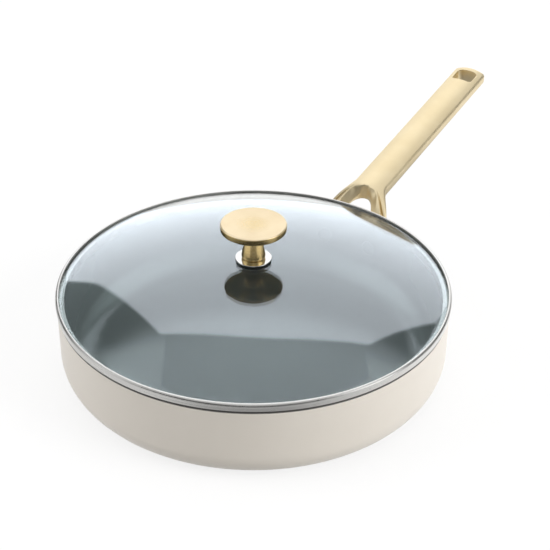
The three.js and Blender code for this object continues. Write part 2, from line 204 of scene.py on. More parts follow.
def node(tree, kind, inputs, output=0, **settings):
    """Add a shader node with its settings and inputs, and return one of its outputs, if it has any."""
    made = tree.nodes.new("ShaderNode" + kind)
    for key, value in settings.items():
        setattr(made, key, value)
    for key, value in inputs.items():
        feed(made.inputs[key], value)
    return made.outputs[output] if made.outputs else None


def calc(tree, operation, *values):
    """A Math node."""
    return node(tree, "Math", dict(enumerate(values)), operation=operation)


def measure(tree, operation, *vectors):
    """A number from vectors: a length, a distance or a dot product."""
    return node(tree, "VectorMath", dict(enumerate(vectors)), "Value", operation=operation)


def part_of(tree, vector, axis):
    """A vector's X, Y or Z."""
    return node(tree, "SeparateXYZ", {0: vector}, axis)


def spread(tree, value, low, high, to_low=0.0, to_high=1.0):
    """Map a value between two limits to a new range, with soft ends."""
    limits = {"Value": value, "From Min": low, "From Max": high, "To Min": to_low, "To Max": to_high}
    return node(tree, "MapRange", limits, interpolation_type="SMOOTHSTEP")


def tint(tree, share, first, second):
    """Mix two colours by a share."""
    return node(tree, "Mix", {0: share, 6: first, 7: second}, 2, data_type="RGBA")


def layered(tree, result, layers):
    """Lay shaders over a first one, each by its share."""
    for share, over in layers:
        result = node(tree, "MixShader", {0: share, 1: result, 2: over})
    return result


def finish(name, settings):
    """A new material with one Principled shader, and its node tree and shader."""
    material = bpy.data.materials.new(name)
    material.use_nodes = True
    shader = material.node_tree.nodes["Principled BSDF"]
    for label, value in settings.items():
        shader.inputs[label].default_value = value
    print("Finish:", name)
    return material, material.node_tree, shader


print("Shader helpers ready")

# %% [markdown]
# ## Effects that several finishes share
# Some effects come back on many surfaces. Turned grain is the fine ring pattern that a lathe tool
# or a brush leaves on a spinning part: noise drawn out along the ring, by feeding it the radius and
# height finely and the angle coarsely. Handling haze is the faint cloudiness that keeps gloss from
# being perfectly even, and speckle is a scatter of tiny flecks. Two more only measure where a place
# lies, so that a finish can change at a rim or a lip. Each is a node group, built once.

# %% Node groups
FLECK_EDGE = 0.06


def group(name, inputs, output):
    """Start a node group with a position, float inputs and one float output."""
    tree = bpy.data.node_groups.new(name, "ShaderNodeTree")
    tree.interface.new_socket("Position", in_out="INPUT", socket_type="NodeSocketVector")
    for label in inputs:
        tree.interface.new_socket(label, in_out="INPUT", socket_type="NodeSocketFloat")
    tree.interface.new_socket(output, in_out="OUTPUT", socket_type="NodeSocketFloat")
    entry = tree.nodes.new("NodeGroupInput")
    leave = tree.nodes.new("NodeGroupOutput")
    return tree, entry.outputs, leave.inputs[0]


def flattened(tree, position):
    """A position dropped onto the floor."""
    return node(tree, "VectorMath", {0: position, 1: (1, 1, 0)}, operation="MULTIPLY")


def turned_grain():
    """Fine streaks round the Z axis."""
    tree, entry, leave = group("Turned grain", ["Fineness", "Streak length"], "Streak")
    flat = flattened(tree, entry["Position"])
    outward = node(tree, "VectorMath", {0: flat}, operation="NORMALIZE")
    ring = calc(tree, "MULTIPLY", measure(tree, "LENGTH", flat), entry["Fineness"])
    level = calc(tree, "MULTIPLY", part_of(tree, entry["Position"], "Z"), entry["Fineness"])
    coarse_x = calc(tree, "DIVIDE", part_of(tree, outward, "X"), entry["Streak length"])
    coarse_y = calc(tree, "DIVIDE", part_of(tree, outward, "Y"), entry["Streak length"])
    drawn = node(tree, "CombineXYZ", {0: ring, 1: level, 2: coarse_x})
    streak = node(tree, "TexNoise", {"Vector": drawn, "W": coarse_y, "Scale": 1.0, "Detail": 2.0},
                  noise_dimensions="4D")
    feed(leave, streak)
    return tree


def handling_haze():
    """Soft clouds from 0 to 1."""
    tree, entry, leave = group("Handling haze", ["Scale"], "Cloud")
    noise = node(tree, "TexNoise", {"Vector": entry["Position"], "Scale": entry["Scale"], "Detail": 3.0})
    feed(leave, spread(tree, noise, 0.3, 0.7))
    return tree


def speckle():
    """A mask of small scattered flecks."""
    tree, entry, leave = group("Speckle", ["Scale", "Sparseness"], "Fleck")
    noise = node(tree, "TexNoise", {"Vector": entry["Position"], "Scale": entry["Scale"], "Detail": 1.0})
    edge = calc(tree, "ADD", entry["Sparseness"], FLECK_EDGE)
    feed(leave, spread(tree, noise, entry["Sparseness"], edge))
    return tree


def reach_from_axis():
    """How far a place lies from the pan's upright axis, in metres."""
    tree, entry, leave = group("Reach from axis", [], "Reach")
    feed(leave, measure(tree, "LENGTH", flattened(tree, entry["Position"])))
    return tree


def height_of_place():
    """How high a place lies, in metres."""
    tree, entry, leave = group("Height", [], "Height")
    feed(leave, part_of(tree, entry["Position"], "Z"))
    return tree


GROUPS = (turned_grain(), handling_haze(), speckle(), reach_from_axis(), height_of_place())
EFFECTS = {tree.name: tree for tree in GROUPS}
print("Node groups:", ", ".join(EFFECTS))

# %% Placing effects on a surface


def surface(tree):
    """The place on the surface, in metres, in the object's own frame."""
    return node(tree, "TexCoord", {}, "Object")


def effect(tree, name, **values):
    """Place a node group on the surface's own coordinates, with its values, and return its output."""
    made = tree.nodes.new("ShaderNodeGroup")
    made.node_tree = EFFECTS[name]
    feed(made.inputs["Position"], surface(tree))
    for label, value in values.items():
        made.inputs[label.replace("_", " ")].default_value = value
    return made.outputs[0]


def emboss(tree, shader, height, depth, strength):
    """Raise the surface's normal by a height pattern of a real depth."""
    settings = {"Height": height, "Distance": depth, "Strength": strength}
    feed(shader.inputs["Normal"], node(tree, "Bump", settings))


def brush_round(tree, shader):
    """Let a metal's stretched highlight follow the ring."""
    feed(shader.inputs["Tangent"], node(tree, "Tangent", {}, direction_type="RADIAL", axis="Z"))


def feeding(shader, label):
    """The output that feeds one of a shader's inputs."""
    return shader.inputs[label].links[0].from_socket


print("Effects are laid on each piece's own coordinates, in metres")

# %% [markdown]
# ## The pan's shell
# The pan is forged from thick aluminium and enamelled in cream. Its wall stands straight, turns in
# through one generous radius and ends in a flat base with a shallow seat for a steel plate. A lathe
# outline with the corner radii as rounding gives this shape exactly, because a forging die is turned
# in the same way. The enamel is sprayed and fired: satin, nearly even, with a very fine ripple. A thin
# grey edge on top of the rim is painted shade, which darkens the slot under the lid's band.

# %% Enamel finish
CREAM = (0.83, 0.775, 0.695, 1)
CREAM_DEEP = (0.805, 0.75, 0.67, 1)
RIM_SHADE_GREY = (0.19, 0.185, 0.175, 1)
RIM_EDGE = 0.4 * MM

pan_radius, _, pan_height = place("pan_body")


def enamel_finish():
    """Cream enamel with a faint cloud in colour and gloss, a fine fired ripple and a rim of painted shade."""
    material, tree, shader = finish("cream_enamel", {"Specular IOR Level": 0.45, "Coat Roughness": 0.3})
    cloud = effect(tree, "Handling haze", Scale=22.0)
    rim = spread(tree, effect(tree, "Height"), pan_height - RIM_EDGE, pan_height - RIM_EDGE / 2)
    cream = tint(tree, cloud, CREAM_DEEP, CREAM)
    # The rim's grey edge is painted shade: it darkens the slot under the lid's band.
    feed(shader.inputs["Base Color"], tint(tree, rim, cream, RIM_SHADE_GREY))
    feed(shader.inputs["Roughness"], spread(tree, cloud, 0.0, 1.0, 0.36, 0.44))
    ripple = node(tree, "TexNoise", {"Vector": surface(tree), "Scale": 700.0, "Detail": 2.0})
    emboss(tree, shader, ripple, 0.02 * MM, 0.35)
    return material


ENAMEL = enamel_finish()

# %% Turn the shell
WALL = 3.6 * MM
FLOOR = 5.0 * MM
BASE_ROUND = 23.0 * MM
RIM_ROUND = 0.6 * MM
SEAT_GAP = 0.3 * MM
SEAT_EDGE = 0.5 * MM
INNER_ROUND = 24.0 * MM

plate_radius, _, plate_top = place("induction_plate")
shell = turned("enamel_shell", softened([
    (0, plate_top + SEAT_GAP),
    (plate_radius + SEAT_GAP, plate_top + SEAT_GAP, SEAT_GAP),
    (plate_radius + SEAT_GAP, 0, SEAT_EDGE),
    (pan_radius, 0, BASE_ROUND),
    (pan_radius, pan_height, RIM_ROUND),
    (pan_radius - WALL, pan_height, RIM_ROUND),
    (pan_radius - WALL, FLOOR, INNER_ROUND),
    (0, FLOOR),
]))
fit(shell, ENAMEL, "pan", "pan_body")

# %% [markdown]
# ## The nonstick lining
# Inside, a dark grey ceramic coat covers the floor and wall. Its own thickness hardly shows, but its
# finish does: a satin sheen that follows the turned metal under it, with pale mineral flecks. The
# flecks are in the colour, and the turning marks are in the bump and the gloss.

# %% Lining finish
COAT_GREY = (0.034, 0.040, 0.040, 1)
COAT_DEEP = (0.029, 0.034, 0.034, 1)
COAT_FLECK = (0.044, 0.050, 0.049, 1)


def lining_finish():
    """Dark grey ceramic with flecks, over fine turning marks."""
    material, tree, shader = finish("ceramic_lining", {"Specular IOR Level": 0.55})
    cloud = effect(tree, "Handling haze", Scale=30.0)
    fleck = effect(tree, "Speckle", Scale=3000.0, Sparseness=0.64)
    streak = effect(tree, "Turned grain", Fineness=6000.0, Streak_length=0.35)
    ground = tint(tree, cloud, COAT_DEEP, COAT_GREY)
    feed(shader.inputs["Base Color"], tint(tree, fleck, ground, COAT_FLECK))
    feed(shader.inputs["Roughness"], spread(tree, streak, 0.3, 0.7, 0.22, 0.26))
    emboss(tree, shader, streak, 0.002 * MM, 0.05)
    return material


LINING = lining_finish()

# %% Turn the lining
COAT = 0.5 * MM
COAT_GAP = 0.1 * MM

coat_back, coat_floor, coat_top = place("nonstick_lining")
back_round = INNER_ROUND - COAT_GAP
coat = turned("ceramic_coat", softened([
    (0, coat_floor),
    (coat_back, coat_floor, back_round),
    (coat_back, coat_top, COAT / 4),
    (coat_back - COAT, coat_top, COAT / 4),
    (coat_back - COAT, coat_floor + COAT, back_round - COAT),
    (0, coat_floor + COAT),
]))
fit(coat, LINING, "pan", "nonstick_lining")

# %% [markdown]
# ## The steel plate in the base
# For induction hobs a magnetic steel plate is pressed into the aluminium base, which squeezes up
# through its holes and locks it. A filled 2D curve makes such a plate simply: one circle for the edge,
# one for each hole, and the curve's own bevel softens all of them at once. The plate is then faced on a
# lathe, so its finish is the turned grain at a coarse pitch.

# %% Base steel finish
STEEL = (0.58, 0.575, 0.56, 1)
STEEL_DEEP = (0.47, 0.465, 0.45, 1)
QUARTER_TURN = 0.25


def turned_steel(name, fineness, smoothest, roughest, depth):
    """Steel with turned grain in its colour, gloss and surface."""
    settings = {"Metallic": 1.0, "Anisotropic": 0.4, "Anisotropic Rotation": QUARTER_TURN}
    material, tree, shader = finish(name, settings)
    streak = effect(tree, "Turned grain", Fineness=fineness, Streak_length=0.5)
    cloud = effect(tree, "Handling haze", Scale=40.0)
    feed(shader.inputs["Base Color"], tint(tree, streak, STEEL_DEEP, STEEL))
    gloss = calc(tree, "MULTIPLY_ADD", cloud, 0.3, calc(tree, "MULTIPLY", streak, 0.7))
    feed(shader.inputs["Roughness"], spread(tree, gloss, 0.2, 0.8, smoothest, roughest))
    brush_round(tree, shader)
    emboss(tree, shader, streak, depth, 0.5)
    return material, tree, shader


BASE_STEEL, _, _ = turned_steel("faced_base_steel", 1500.0, 0.26, 0.42, 0.03 * MM)

# %% Press the plate
HOLE_RADIUS = 3.5 * MM
RING_PITCH = 27.0 * MM
HOLE_SPACING = 26.0 * MM
HOLE_STEPS = 32
PLATE_EDGE = 0.2 * MM
WELD = PLATE_EDGE / 20


def circle(curve, centre, radius, steps):
    """Add a closed round outline to a flat curve."""
    line = curve.splines.new("POLY")
    line.points.add(steps - 1)
    for i, point in enumerate(line.points):
        angle = 2 * math.pi * i / steps
        point.co = (centre.x + radius * math.cos(angle), centre.y + radius * math.sin(angle), 0, 1)
    line.use_cyclic_u = True


def pressed_plate():
    """The plate as a filled curve, turned into a mesh with its parts merged."""
    curve = bpy.data.curves.new("plate_outline", "CURVE")
    curve.dimensions = "2D"
    curve.fill_mode = "BOTH"
    curve.extrude = plate_top / 2 - PLATE_EDGE
    curve.bevel_depth = PLATE_EDGE
    curve.bevel_resolution = 2
    curve.offset = -PLATE_EDGE
    circle(curve, Vector((0, 0)), plate_radius, RING_STEPS)
    rings = int((plate_radius - 2 * HOLE_RADIUS) / RING_PITCH)
    for ring in range(1, rings + 1):
        holes = int(2 * math.pi * ring * RING_PITCH / HOLE_SPACING)
        for i in range(holes):
            spot = Matrix.Rotation(2 * math.pi * i / holes, 2) @ Vector((ring * RING_PITCH, 0))
            circle(curve, spot, HOLE_RADIUS, HOLE_STEPS)
    outline = bpy.data.objects.new("plate_outline", curve)
    bpy.context.scene.collection.objects.link(outline)
    bm = bmesh.new()
    bm.from_mesh(outline.to_mesh())
    bpy.data.objects.remove(outline)
    bmesh.ops.remove_doubles(bm, verts=bm.verts, dist=WELD)
    bmesh.ops.translate(bm, verts=bm.verts, vec=(0, 0, plate_top / 2))
    bmesh.ops.recalc_face_normals(bm, faces=bm.faces)
    return new_object("hob_plate", bm)


fit(pressed_plate(), BASE_STEEL, "pan", "induction_plate")

# %% [markdown]
# ## The handle
# The handle is one casting: a crowned grip with a bevelled edge and a rounded belly, which divides into
# two tines that drop to a riveted foot each. The tines' inner walls lean out, and a narrow slot opens
# along each tine. A subdivision cage could follow it, but the window, the hanging hole and the feet
# would break the cage up. Here it is made the way a pattern maker would: a loft of cross sections,
# cut and joined with booleans, then melted into one skin by a fine voxel remesh and smoothed, which
# leaves the small soft edges of a polished casting everywhere.

# %% The run of the grip and the tines
GRIP_HALF = 14.5 * MM
GRIP_SIDE = 5.5 * MM
GRIP_CROWN = 6.2 * MM
GRIP_SLOPE = math.radians(10.5)
GRIP_START = 34.0 * MM
GRIP_LIFT = 9.9 * MM
UNDER_ROUND = 2.5 * MM
TIP_ROUND = 4.5 * MM
FORK_HALF = 28.5 * MM
FORK_FOOT = 5.0 * MM
CROTCH_RELIEF = 0.4 * MM
WINDOW_HALF = 14.5 * MM
WINDOW_REACH = 24.0 * MM
TINE_EDGE = 3.8 * MM
TINE_RISE = 6.5 * MM
EDGE_RAISE = 1.3 * MM

handle_low, handle_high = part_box("handle")
rivet_low, rivet_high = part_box("rivet_left")
rivet_middle = (rivet_low + rivet_high) / 2
rivet_angle = math.atan2(rivet_middle.y, rivet_middle.x)
rivet_z = rivet_middle.z
tip_x = handle_high.x
foot_x = pan_radius + FORK_FOOT
grip_x = pan_radius + GRIP_START


def clamp(value):
    """A value kept between 0 and 1."""
    return min(max(value, 0.0), 1.0)


def crease_at(x):
    """Height of the crease between the crown and the side, along the straight grip."""
    return pan_height + GRIP_LIFT + (x - grip_x) * math.tan(GRIP_SLOPE)


tine_under = rivet_z + TINE_RISE
crest_fall = crease_at(foot_x) - GRIP_SIDE - tine_under
edge_fall = crease_at(foot_x) - tine_under - TINE_EDGE


def grip_heights(x):
    """Half width, outer edge, crest and underside of the handle at a distance from the axis."""
    at = max(x, foot_x)
    share = clamp((at - foot_x) / (grip_x - foot_x))
    line = crease_at(at)
    fall = crest_fall * (1 - share) ** 4
    half = FORK_HALF + (GRIP_HALF - FORK_HALF) * share * share * (3 - 2 * share)
    relief = CROTCH_RELIEF * 4 * share * (1 - share)
    edge = line - edge_fall * (1 - share) ** 2
    return half, edge, line + GRIP_CROWN - fall, line - GRIP_SIDE - fall + relief


print(f"Grip from x {grip_x / MM:.0f} to {tip_x / MM:.1f} mm, rivets {math.degrees(rivet_angle):.1f} deg off")

# %% Loft the casting
CROWN_STEPS = 120
ROUND_STEPS = 5
BEVEL_WIDTH = 1.3 * MM
BEVEL_DROP = 1.8 * MM
BELLY = 2.5 * MM
BELLY_STEPS = 12
DRAFT_WIDTH = 4.3 * MM
DRAFT_DROP = 9.0 * MM
LEAN_START = 0.15 * WINDOW_HALF
LEAN_FULL = 0.8 * WINDOW_HALF
SLOT_START = Vector((171.0, 7.7)) * MM
SLOT_SPREAD = 0.862
SLOT_RUN = 15.0 * MM
SLOT_WIDTH = 2.5 * MM
SLOT_DEPTH = 4.5 * MM
SLOT_LIP = 0.3 * MM
THIN_EDGE = 1.0 * MM
ARCH_STEPS = 160
FORK_STATIONS = 48
GRIP_STATIONS = 60
TIP_STATIONS = 12
NEARLY = 0.999


def window_arch(steps):
    """The window's outline in plan: a parabola, open towards the wall."""
    apex = pan_radius + WINDOW_REACH
    sides = [2 * i / steps - 1 for i in range(steps + 1)]
    return [(apex - (apex - foot_x) * side ** 2, WINDOW_HALF * side) for side in sides]


ARCH = [Vector(point) for point in window_arch(ARCH_STEPS)]


def smooth(value, low, high):
    """A share from 0 to 1 between two limits, with soft ends."""
    share = clamp((value - low) / (high - low))
    return share * share * (3 - 2 * share)


def fork_dip(x, y):
    """How far the fork's top is cut: the tines' inner walls lean out, and a slot opens along each tine."""
    if x > grip_x:
        return 0.0
    lean = DRAFT_WIDTH * smooth(abs(y), LEAN_START, LEAN_FULL)
    gap = min((point - Vector((x, y))).length for point in ARCH)
    draft = DRAFT_DROP * clamp(1 - gap / max(lean, SLOT_LIP))
    run = SLOT_START.x - x
    opening = clamp(run / SLOT_RUN)
    off = abs(y) - SLOT_START.y - SLOT_SPREAD * run
    slot = clamp(off / SLOT_LIP) * clamp((SLOT_WIDTH * opening - off) / SLOT_LIP)
    return max(draft, SLOT_DEPTH * slot)


def section(x):
    """One cross section of the handle as a ring of points: crown, bevel, side and belly."""
    half, edge, crest, under = grip_heights(x)
    edge += EDGE_RAISE
    past = clamp((x - tip_x) / TIP_ROUND + 1)
    shrink = math.sqrt(1 - past ** 2)
    width = half - TIP_ROUND * (1 - shrink)
    bevel = BEVEL_DROP * shrink
    crown = (crest - edge) * shrink - bevel
    belly = BELLY * shrink * clamp((x - foot_x) / (grip_x - foot_x))
    ring = []
    for i in range(CROWN_STEPS + 1):
        side = 1 - 2 * i / CROWN_STEPS
        y = (width - BEVEL_WIDTH) * side
        top = edge + bevel + crown * (1 - side ** 2) - fork_dip(x, y)
        ring.append((x, y, max(top, under + THIN_EDGE)))
    drop = min(UNDER_ROUND, (edge - under) / 2)
    flank = [(width, edge)]
    for i in range(ROUND_STEPS + 1):
        angle = math.pi / 2 * i / ROUND_STEPS
        flank.append((width - UNDER_ROUND * (1 - math.cos(angle)), under + drop * (1 - math.sin(angle))))
    ring += [(x, -y, z) for y, z in flank]
    for i in range(1, BELLY_STEPS):
        side = 2 * i / BELLY_STEPS - 1
        ring.append((x, (width - UNDER_ROUND) * side, under - belly * (1 - side ** 2)))
    ring += [(x, y, z) for y, z in reversed(flank)]
    return ring


def steps_between(start, end, count):
    """Evenly spaced values, the end left out."""
    return [start + (end - start) * i / count for i in range(count)]


def loft(name, rings):
    """Skin a row of rings with quads and close both ends."""
    bm = bmesh.new()
    rows = [[bm.verts.new(point) for point in ring] for ring in rings]
    skin(bm, rows)
    bm.faces.new(rows[0])
    bm.faces.new(rows[-1])
    bmesh.ops.recalc_face_normals(bm, faces=bm.faces)
    return new_object(name, bm)


wall_x = math.sqrt(pan_radius ** 2 - FORK_HALF ** 2) - 2 * SEAT_GAP
tip_start = tip_x - TIP_ROUND
stations = [wall_x] + steps_between(foot_x, grip_x, FORK_STATIONS)
stations += steps_between(grip_x, tip_start, GRIP_STATIONS)
for i in range(TIP_STATIONS + 1):
    stations.append(tip_start + TIP_ROUND * math.sin(math.pi / 2 * i / TIP_STATIONS) * NEARLY)
handle = loft("forked_handle", [section(x) for x in stations])
print(f"Loft of {len(stations)} sections")

# %% The cutting and joining tools
HOLE_LENGTH = 15.0 * MM
HOLE_WIDTH = 18.4 * MM
HOLE_ROUND = 3.5 * MM
HOLE_END = 6.2 * MM
HOLE_CUT = 0.1
WINDOW_CUT = 1.0
WINDOW_STEPS = 40
FOOT_WIDTH = 16.0 * MM
FOOT_THICK = 4.5 * MM
FOOT_ROUND = 5.0 * MM
FOOT_ABOVE = 3.0 * MM


def prism(name, outline, depth, matrix):
    """An upright prism on an outline in its XY plane, set in place by a matrix."""
    solid = loft(name, [[(x, y, z) for x, y in outline] for z in (-depth / 2, depth / 2)])
    solid.data.transform(matrix)
    return solid


def rounded_rectangle(length, width, corner):
    """A rectangle about the origin with round corners."""
    x, y = length / 2, width / 2
    return softened([(x, -y, corner), (x, y, corner), (-x, y, corner), (-x, -y, corner)])


def drum(radius):
    """A tall cylinder on the pan's axis."""
    return turned("drum_tool", [(0, 0), (radius, 0), (radius, 2 * pan_height), (0, 2 * pan_height)])


def settle(piece):
    """Apply a piece's modifiers to its mesh."""
    bpy.context.view_layer.update()
    shaped = piece.evaluated_get(bpy.context.evaluated_depsgraph_get())
    mesh = bpy.data.meshes.new_from_object(shaped)
    piece.modifiers.clear()
    piece.data = mesh


def carve(piece, tool, operation):
    """Join a tool to a piece, cut it away or keep what they share, and throw the tool away."""
    knife = piece.modifiers.new("carve", "BOOLEAN")
    knife.operation = operation
    knife.solver = "EXACT"
    knife.object = tool
    settle(piece)
    bpy.data.objects.remove(tool)


def window_tool():
    """The gap between the tines, cut straight down."""
    outline = window_arch(WINDOW_STEPS) + [(0, WINDOW_HALF), (0, -WINDOW_HALF)]
    return prism("window_tool", outline, WINDOW_CUT, Matrix())


def hanging_hole_tool():
    """The hole near the tip, square to the grip."""
    x = tip_x - HOLE_END - HOLE_LENGTH / 2
    stand = Matrix.Translation((x, 0, crease_at(x))) @ Matrix.Rotation(-GRIP_SLOPE, 4, "Y")
    return prism("hole_tool", rounded_rectangle(HOLE_LENGTH, HOLE_WIDTH, HOLE_ROUND), HOLE_CUT, stand)


def foot_tool(side):
    """One riveted foot: a rounded plate, lying against the wall under a tine."""
    bottom, top = handle_low.z, tine_under + TINE_EDGE + FOOT_ABOVE
    outline = rounded_rectangle(top - bottom, FOOT_WIDTH, FOOT_ROUND)
    reach = pan_radius + SEAT_GAP + FOOT_THICK
    middle = Matrix.Translation((reach - FOOT_THICK, 0, (top + bottom) / 2))
    stand = Matrix.Rotation(side * rivet_angle, 4, "Z") @ (middle @ Matrix.Rotation(math.pi / 2, 4, "Y"))
    plate = prism("foot_tool", outline, 2 * FOOT_THICK, stand)
    carve(plate, drum(reach), "INTERSECT")
    return plate


carve(handle, window_tool(), "DIFFERENCE")
for side in (1, -1):
    carve(handle, foot_tool(side), "UNION")
carve(handle, hanging_hole_tool(), "DIFFERENCE")
carve(handle, drum(pan_radius + SEAT_GAP), "DIFFERENCE")
print(f"Carved handle: {len(handle.data.polygons)} faces")

# %% Melt the casting into one skin
CAST_VOXEL = 0.4 * MM
POLISH_FACTOR = 0.5
POLISH_PASSES = 5

melt = handle.modifiers.new("melt", "REMESH")
melt.mode = "VOXEL"
melt.voxel_size = CAST_VOXEL
polish = handle.modifiers.new("polish", "SMOOTH")
polish.factor = POLISH_FACTOR
polish.iterations = POLISH_PASSES
settle(handle)
handle.data.shade_smooth()
print(f"Melted handle: {len(handle.data.polygons)} faces")

# %% [markdown]
# The plating is a pale satin gold. Under a lens it is bead blasted and then lightly brushed along the
# grip, so the gloss changes in fine lengthwise streaks while the colour hardly does.

# %% Satin gold finish
GOLD = (0.85, 0.725, 0.48, 1)
GOLD_DEEP = (0.81, 0.68, 0.435, 1)


def satin_gold():
    """Satin gold plating, brushed lengthwise along X."""
    material, tree, shader = finish("satin_gold", {"Metallic": 1.0})
    drawn = node(tree, "VectorMath", {0: surface(tree), 1: (0.03, 1, 1)}, operation="MULTIPLY")
    streak = node(tree, "TexNoise", {"Vector": drawn, "Scale": 1600.0, "Detail": 2.0})
    blast = node(tree, "TexNoise", {"Vector": surface(tree), "Scale": 2600.0, "Detail": 1.0})
    cloud = effect(tree, "Handling haze", Scale=45.0)
    grain = calc(tree, "MULTIPLY_ADD", blast, 0.4, calc(tree, "MULTIPLY", streak, 0.6))
    feed(shader.inputs["Base Color"], tint(tree, cloud, GOLD_DEEP, GOLD))
    feed(shader.inputs["Roughness"], spread(tree, grain, 0.3, 0.7, 0.32, 0.42))
    emboss(tree, shader, grain, 0.03 * MM, 0.35)
    return material


fit(handle, satin_gold(), "pan", "handle")

# %% [markdown]
# ## The rivets
# Two rivets hold the feet. Each has a low head inside the pan, sprayed over with the lining's dark
# coat, and a smaller domed tail set on the foot outside. They could be joined to the pan, but they are
# parts of their own: turned like the rest and then laid along their own radius of the pan.

# %% Turn the rivets
SHANK = 3.0 * MM
HEAD_RADIUS = 6.0 * MM
HEAD_RISE = 0.4 * MM
TAIL_RADIUS = 5.0 * MM
TAIL_RISE = 1.6 * MM
HEAD_SEAT = 0.6 * MM
RIVET_STEPS = 64
DOME_STEPS = 14


def low_dome(radius, base, rise):
    """A flattened dome from its rim to its crown on the axis."""
    bend = [math.pi / 2 * i / DOME_STEPS for i in range(DOME_STEPS)]
    return [(radius * math.cos(a), base + rise * math.sin(a)) for a in bend] + [(0, base + rise)]


def coated_rivet():
    """Rivet steel outside the pan, and the lining's dark coat over the head inside."""
    material, tree, shader = turned_steel("satin_rivet_steel", 2500.0, 0.24, 0.36, 0.01 * MM)
    steel = feeding(shader, "Base Color")
    bare = spread(tree, effect(tree, "Reach from axis"), pan_radius - WALL, pan_radius)
    feed(shader.inputs["Base Color"], tint(tree, bare, COAT_DEEP, steel))
    feed(shader.inputs["Metallic"], bare)
    return material


RIVET_STEEL = coated_rivet()
head_flat = coat_back - COAT - HEAD_SEAT
tail_flat = pan_radius + 2 * SEAT_GAP + FOOT_THICK
rivet_outline = low_dome(HEAD_RADIUS, head_flat, -HEAD_RISE)[::-1]
rivet_outline += [(SHANK, head_flat), (SHANK, tail_flat)]
rivet_outline += low_dome(TAIL_RADIUS, tail_flat, TAIL_RISE)
for name, node_name, side in (("left_rivet", "rivet_left", 1), ("right_rivet", "rivet_right", -1)):
    rivet = turned(name, rivet_outline, RIVET_STEPS)
    lay = Matrix.Translation((0, 0, rivet_z)) @ Matrix.Rotation(side * rivet_angle, 4, "Z")
    rivet.data.transform(lay @ Matrix.Rotation(math.pi / 2, 4, "Y"))
    fit(rivet, RIVET_STEEL, "pan", node_name)

# %% [markdown]
# ## The lid's band
# A strip of stainless steel is rolled round the edge of the glass. From outside it is a brushed face
# under a bead that stands a little proud, with a lip that closes over the glass. Below, a shoulder
# slopes in to a flange that sits on the pan's rim, and a skirt drops inside. Bending a sheet would
# show the same, but one turned outline keeps every fold exact.

# %% Roll the band
SHEET = 1.0 * MM
BAND_SEAT = 5.0 * MM
BAND_LIFT = 1.7 * MM
BEAD = 2.0 * MM
BEAD_PROUD = 0.3 * MM
BEAD_STEPS = 14
LIP_WIDTH = 2.4 * MM
LIP_ROUND = 0.35 * MM
SKIRT_CLEARANCE = 0.9 * MM
SHEET_EDGE = 0.3 * MM
GLASS = 3.4 * MM
DOME_RISE = 23.5 * MM
EASE_WIDTH = 5.5 * MM
EASE_DROP = 0.55 * MM

lid_radius, skirt_bottom, band_top = place("lid_band")
glass_radius, glass_low, glass_top = place("lid_glass")
band_bottom = pan_height + SEAT_GAP
skirt_outer = coat_back - COAT - SKIRT_CLEARANCE
flange_top = band_bottom + BAND_LIFT
lip_inner = lid_radius - LIP_WIDTH
sphere = (glass_radius ** 2 + DOME_RISE ** 2) / (2 * DOME_RISE)
sphere_z = glass_low - math.sqrt((sphere - GLASS) ** 2 - glass_radius ** 2)


def dome_at(radius, sink=0.0):
    """Height of the dome, or of a face below it, at a distance from the axis."""
    return sphere_z + math.sqrt((sphere - sink) ** 2 - radius ** 2)


def glass_face(radius):
    """Height of the glass's outer face: the dome, eased off towards its edge."""
    return dome_at(radius) - EASE_DROP * clamp((radius - glass_radius) / EASE_WIDTH + 1) ** 2


def bead():
    """The round edge that stands a little proud of the face, from under it to its top."""
    start = -math.acos(1 - BEAD_PROUD / BEAD)
    swing = math.pi / 2 - start
    angles = [start + swing * i / BEAD_STEPS for i in range(BEAD_STEPS + 1)]
    return [(lid_radius - BEAD * (1 - math.cos(a)), band_top - BEAD * (1 - math.sin(a))) for a in angles]


channel = glass_radius + SEAT_GAP
band = turned("rolled_band", softened([
    (skirt_outer - SHEET, skirt_bottom, SHEET_EDGE),
    (skirt_outer, skirt_bottom, SHEET_EDGE),
    (skirt_outer, band_bottom, SHEET_EDGE),
    (lid_radius - BAND_SEAT, band_bottom, SHEET_EDGE),
    (lid_radius - BEAD_PROUD, flange_top, SHEET_EDGE),
    *bead(),
    (lip_inner, band_top, LIP_ROUND),
    (lip_inner, glass_face(lip_inner) + SEAT_GAP, SHEET_EDGE / 3),
    (channel, glass_face(channel) + SEAT_GAP),
    (channel, flange_top),
    (skirt_outer - SHEET, flange_top, SHEET_EDGE),
]))
print(f"Dome radius {sphere / MM:.0f} mm, band {(band_top - band_bottom) / MM:.1f} mm tall")

# %% [markdown]
# The brushing runs round the ring, so the grain and the stretched highlight both follow it. The lip's
# top is painted pale as a highlight line, and its inner edge is left matt. Where the strip is folded in
# under the glass it is painted dark as shade. Each change is a soft step at a distance from the axis
# or at a height.

# %% Band finish
STEEL_FOLD_SHADE = (0.215, 0.215, 0.205, 1)
STEEL_LIP_HIGHLIGHT = (0.80, 0.80, 0.79, 1)
LIP_MATT = 0.3
FADE = 0.1 * MM


